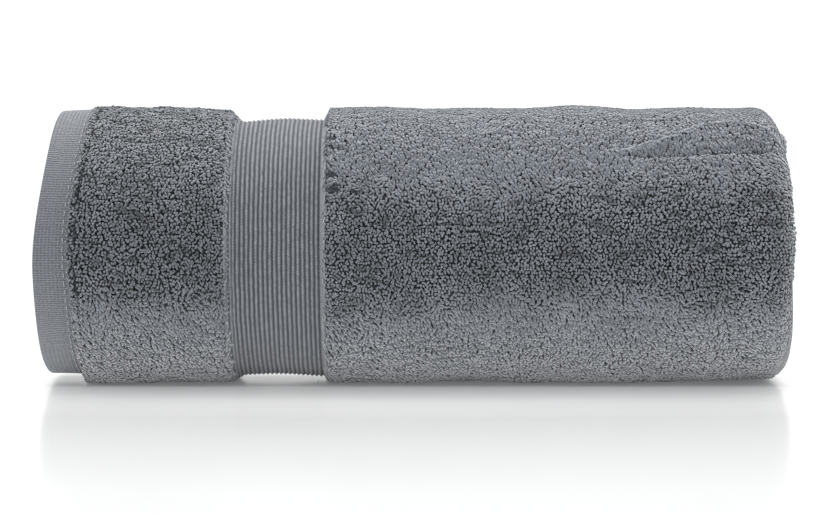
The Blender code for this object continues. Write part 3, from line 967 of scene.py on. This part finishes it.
def border_ribs(material):
    """The border's ribs and its plain margins, as a finer closed mesh over the ground cloth."""
    rows = length_wound(np.linspace(winding_angle(EXPOSED_FROM), LAST_ANGLE - 0.01, RIB_ROWS))
    inset = 0.0004
    left = np.linspace(BORDER_X + inset, RIB_EDGES[0], 4)
    right = np.linspace(RIB_EDGES[-1], BORDER_END_X - inset, 5)
    steps = np.arange((len(RIB_EDGES) - 1) * RIB_STEPS + 1) / RIB_STEPS
    ribs = np.interp(steps, np.arange(len(RIB_EDGES)), RIB_EDGES)
    s, x = np.meshgrid(rows, np.concatenate([left[:-1], ribs, right[1:]]), indexing="ij")
    crest, bead = rib_relief(x, s)
    ground = HALF_STACK - outer_depth(x, s) + unevenness(x, s)
    top = placed(x, s, ground - RIB_HEIGHT * (1 - crest)).reshape(-1, 3)
    sunk = ground.min(axis=1) - RIB_HEIGHT - 0.0008
    sides = [placed(x[:, i], s[:, i], sunk) for i in (0, -1)]
    points = np.concatenate([top, np.stack(sides, axis=1).reshape(-1, 3)])
    piece = fill_mesh("border_ribs", points, closed_strip(*x.shape), [material])
    back = np.ones(2 * len(rows))
    # The ribs darken into their grooves and where the beads pinch: painted shade
    shade = np.concatenate([0.75 - 0.5 * bead.ravel(), back / 2])
    crest = np.concatenate([crest.ravel(), back])
    paint_yarn(piece, crest, shade, 0 * crest)
    twilled = s + RIB_TWIST * x
    flat = [np.concatenate([part.ravel(), part[:, [0, -1]].ravel()]) for part in (x, twilled)]
    lay_threads(piece, *flat)
    return piece


def stitches(material):
    """The seam that holds the hem down, a row of short pale stitches."""
    starts = np.arange(EXPOSED_FROM, LAYER_ENDS[0] - 0.003, STITCH_PITCH)
    starts = starts[~touches_floor(starts)]
    share = np.array([0.0, 0.2, 0.5, 0.8, 1.0])
    rise = np.array([-0.0002, 0.00025, 0.0004, 0.00025, -0.0002])
    s = starts[:, None, None] + STITCH_LENGTH * share[None, :, None]
    turn = np.radians(np.arange(0, 360, 90))[None, None, :]
    wander = 0.00012 * np.sin(900 * s)
    x = STITCHES_X + STITCH_RADIUS * np.cos(turn) + wander
    n = outer_ground(x, s) + rise[None, :, None] + STITCH_RADIUS * np.sin(turn)
    points = placed(x, s + 0 * x, n).reshape(-1, 3)
    ring = np.arange(4)
    tube = np.stack([ring, (ring + 1) % 4, (ring + 1) % 4 + 4, ring + 4], axis=1)
    tubes = [tube + 4 * step for step in range(4)]
    one = np.concatenate([*tubes, ring[::-1][None], 16 + ring[None]])
    faces = (one[None] + 20 * np.arange(len(starts))[:, None, None]).reshape(-1, 4)
    piece = fill_mesh("hem_stitches", points, [faces], [material])
    paint_yarn(piece, *(np.ones(len(points)) * value for value in (1.0, 0.5, 0.0)))
    return piece


def set_inputs(tree, node, inputs):
    """Gives each input of a node another node's output or a fixed value."""
    for key, value in inputs.items():
        if isinstance(value, bpy.types.NodeSocket):
            tree.links.new(value, node.inputs[key])
        else:
            node.inputs[key].default_value = value


def add_node(tree, kind, inputs, **settings):
    """A new shader node with its settings and inputs."""
    node = tree.nodes.new("ShaderNode" + kind)
    for key, value in settings.items():
        setattr(node, key, value)
    set_inputs(tree, node, inputs)
    return node


def mixed(tree, factor, first, second):
    """The mix of two colours by a factor."""
    return add_node(tree, "Mix", {0: factor, 6: first, 7: second}, data_type="RGBA").outputs[2]


def scaled(tree, value, low, high, to_low, to_high):
    """The value with the range low to high brought to another range, and held within it."""
    inputs = enumerate((value, low, high, to_low, to_high))
    return add_node(tree, "MapRange", dict(inputs)).outputs[0]


def maths(tree, operation, *values):
    """A maths node's result."""
    return add_node(tree, "Math", dict(enumerate(values)), operation=operation).outputs[0]


def thread_relief(tree, threads):
    """Threads of a plain weave from 0 to 1, with the lines along the roll more or less marked."""
    lines = threads["lines"]
    weave = add_node(tree, "UVMap", {}, uv_map="weave").outputs["UV"]
    parts = add_node(tree, "SeparateXYZ", {"Vector": weave})
    wander = add_node(tree, "TexNoise", {"Vector": weave, **THREADS_WANDER})
    across = maths(tree, "MULTIPLY", parts.outputs["X"], 2 * math.pi / threads["pitch_x"])
    along = maths(tree, "MULTIPLY", parts.outputs["Y"], 2 * math.pi / threads["pitch_s"])
    along = maths(tree, "MULTIPLY_ADD", wander.outputs["Fac"], 5.0, along)
    along_wave = maths(tree, "SINE", along)
    crossing = maths(tree, "MULTIPLY", maths(tree, "SINE", across), along_wave)
    lined = maths(tree, "MULTIPLY_ADD", along_wave, lines, crossing)
    return scaled(tree, lined, -1 - lines, 1 + lines, 0.0, 1.0)


def low_pile(tree):
    """The loops of terry from 0 to 1, as a texture for where the pile is out of sight."""
    place = add_node(tree, "TexCoord", {}).outputs["Object"]
    cells = add_node(tree, "TexVoronoi", {"Vector": place, "Scale": 1 / LOOP_PITCH_X})
    return scaled(tree, cells.outputs["Distance"], 0.15, 0.70, 1.0, 0.0)


def yarn_material(name, upright, laid, sheen, threads=None):
    """Grey cotton yarn with painted shade towards its root, and other colours where it lies down,
    where its root is paler than its tip as painted light.
    """
    material = bpy.data.materials.new(name)
    material.use_nodes = True
    tree = material.node_tree
    shader = tree.nodes["Principled BSDF"]
    yarn = add_node(tree, "VertexColor", {}, layer_name="yarn")
    parts = add_node(tree, "SeparateColor", {"Color": yarn.outputs["Color"]}).outputs
    # Root to tip by the height in the pile: painted shade at a standing root, painted light at a
    # lying one
    root, tip = (mixed(tree, parts["Blue"], upright[k], laid[k]) for k in ("root", "tip"))
    colour = mixed(tree, scaled(tree, parts["Red"], 0.15, 0.90, 0.0, 1.0), root, tip)
    place = add_node(tree, "TexCoord", {}).outputs["Object"]
    fibre = add_node(tree, "TexNoise", {"Vector": place, **FIBRES})
    grain = scaled(tree, fibre.outputs["Fac"], 0.3, 0.7, *GRAIN)
    value = maths(tree, "MULTIPLY", grain, scaled(tree, parts["Green"], 0.0, 2.0, *SHADE_TONES))
    if threads:
        relief = thread_relief(tree, threads) if "lines" in threads else low_pile(tree)
        bump = add_node(tree, "Bump", {"Distance": threads["depth"], "Height": relief})
        set_inputs(tree, shader, {"Normal": bump.outputs["Normal"]})
        # Darker in the hollows between threads or low loops: painted shade
        darker = scaled(tree, relief, 0.0, 1.0, threads["dark"], 1.06)
        value = maths(tree, "MULTIPLY", value, darker)
    shade = add_node(tree, "HueSaturation", {"Value": value, "Color": colour})
    inputs = {
        "Base Color": shade.outputs["Color"],
        "Roughness": ROUGHNESS,
        "Specular IOR Level": SPECULAR,
        "Sheen Weight": sheen,
        "Sheen Roughness": SHEEN_ROUGHNESS,
    }
    set_inputs(tree, shader, inputs)
    return material


def towel_materials():
    """The towel's yarn in its pile and in each of its weaves."""
    pile = (STANDING_PILE, LYING_PILE, SHEEN["pile"])
    # The partings' material: the standing pile's colours with less sheen, as painted shade
    parting_shade = (STANDING_PILE, STANDING_PILE, SHEEN["parting"])
    hem, border, seam = ((row, row, SHEEN["weave"]) for row in (HEM, BORDER, SEAM))
    return {
        "pile": yarn_material("terry_pile", *pile),
        "ground": yarn_material("terry_ground", *pile, LOW_PILE),
        "parting_shade": yarn_material("terry_painted_shade_in_partings", *parting_shade),
        "hem": yarn_material("plain_weave", *hem, HEM_THREADS),
        "border": yarn_material("ribbed_weave", *border, BORDER_THREADS),
        "seam": yarn_material("seam_thread", *seam),
    }


def table_glow(tree):
    """How much the table glows, as painted light: less under the towel, as a painted contact
    shadow, and less far from it.
    """
    place = add_node(tree, "TexCoord", {}).outputs["Object"]
    away = add_node(tree, "VectorMath", {0: place, 1: GLOW_SHAPE}, operation="MULTIPLY")
    away = add_node(tree, "VectorMath", {0: away.outputs["Vector"]}, operation="LENGTH")
    parts = add_node(tree, "SeparateXYZ", {"Vector": place})
    beside = maths(tree, "ABSOLUTE", parts.outputs["X"])
    beside = maths(tree, "SUBTRACT", beside, UNDER_TOWEL_HALF_LENGTH)
    before = maths(tree, "MAXIMUM", maths(tree, "ABSOLUTE", parts.outputs["Y"]), beside)
    rows = [(away.outputs["Value"], row) for row in TABLE_GLOW]
    rows += [(before, row) for row in PAINTED_SHADOW_UNDER_TOWEL]
    total = 0.0
    for value, row in rows:
        total = maths(tree, "ADD", scaled(tree, value, *row), total)
    return total


def floor():
    """A plain white table top that is lit from within, whose far edge lies as in the photo."""
    turns = np.linspace(0, 2 * math.pi, FLOOR_POINTS + 1)[:-1]
    half_x, half_y = FLOOR_HALF_SIZE
    points = [(half_x * math.cos(turn), half_y * math.sin(turn), 0.0) for turn in turns]
    mesh = bpy.data.meshes.new("floor")
    mesh.from_pydata(points, [], [range(len(points))])
    piece = add_object("floor", mesh)
    material = bpy.data.materials.new("white_table")
    material.use_nodes = True
    mesh.materials.append(material)
    tree = material.node_tree
    matt = tree.nodes["Principled BSDF"]
    # The table's glow is painted light, cut under the towel as a painted contact shadow
    inputs = {
        "Base Color": FLOOR_COLOUR,
        "Specular IOR Level": 0.0,
        "Emission Color": WHITE,
        "Emission Strength": table_glow(tree),
    }
    set_inputs(tree, matt, inputs)
    gloss = add_node(tree, "BsdfGlossy", {"Roughness": FLOOR_GLOSS["roughness"]})
    slant = add_node(tree, "Fresnel", {"IOR": FLOOR_GLOSS["ior"]})
    inputs = enumerate(node.outputs[0] for node in (slant, matt, gloss))
    mix = add_node(tree, "MixShader", dict(inputs))
    set_inputs(tree, tree.nodes["Material Output"], {"Surface": mix.outputs[0]})


def lighting():
    """An even white room, and a soft light above and behind the towel that faces its middle."""
    world = bpy.data.worlds.new("room")
    bpy.context.scene.world = world
    world.use_nodes = True
    background = world.node_tree.nodes["Background"]
    set_inputs(world.node_tree, background, {"Color": WHITE, "Strength": ROOM_BRIGHTNESS})
    data = bpy.data.lights.new("overhead", "AREA")
    data.shape = "RECTANGLE"
    data.size, data.size_y = OVERHEAD["size"]
    data.energy = OVERHEAD["energy"]
    lamp = add_object("overhead", data)
    lamp.location = OVERHEAD["place"]
    aim = Vector((0.0, 0.0, AXIS_HEIGHT)) - lamp.location
    lamp.rotation_euler = aim.to_track_quat("-Z", "Y").to_euler()
    bpy.context.scene.view_settings.view_transform = "Standard"


def camera():
    """The camera stands in front of the towel and a little above it, as the photo's did."""
    data = bpy.data.cameras.new("camera")
    data.lens = CAMERA_LENS
    data.sensor_width = SENSOR_WIDTH
    data.clip_start, data.clip_end = CAMERA_CLIP
    piece = add_object("camera", data)
    back = Vector((0.0, -math.cos(CAMERA_ELEVATION), math.sin(CAMERA_ELEVATION)))
    piece.location = Vector(CAMERA_AIM) + back * CAMERA_DISTANCE
    piece.rotation_euler = (-back).to_track_quat("-Z", "Y").to_euler()
    bpy.context.scene.camera = piece


def main():
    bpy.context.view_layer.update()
    rng = np.random.default_rng(SEED)
    camera()
    lighting()
    floor()
    materials = towel_materials()
    cloth = ground_cloth([materials[name] for name in ("ground", "hem", "border")])
    dressing = [
        border_ribs(materials["border"]),
        stitches(materials["seam"]),
        *outer_loops(rng, materials),
        *end_loops(rng, materials),
        *free_edge_loops(rng, materials),
    ]


main()
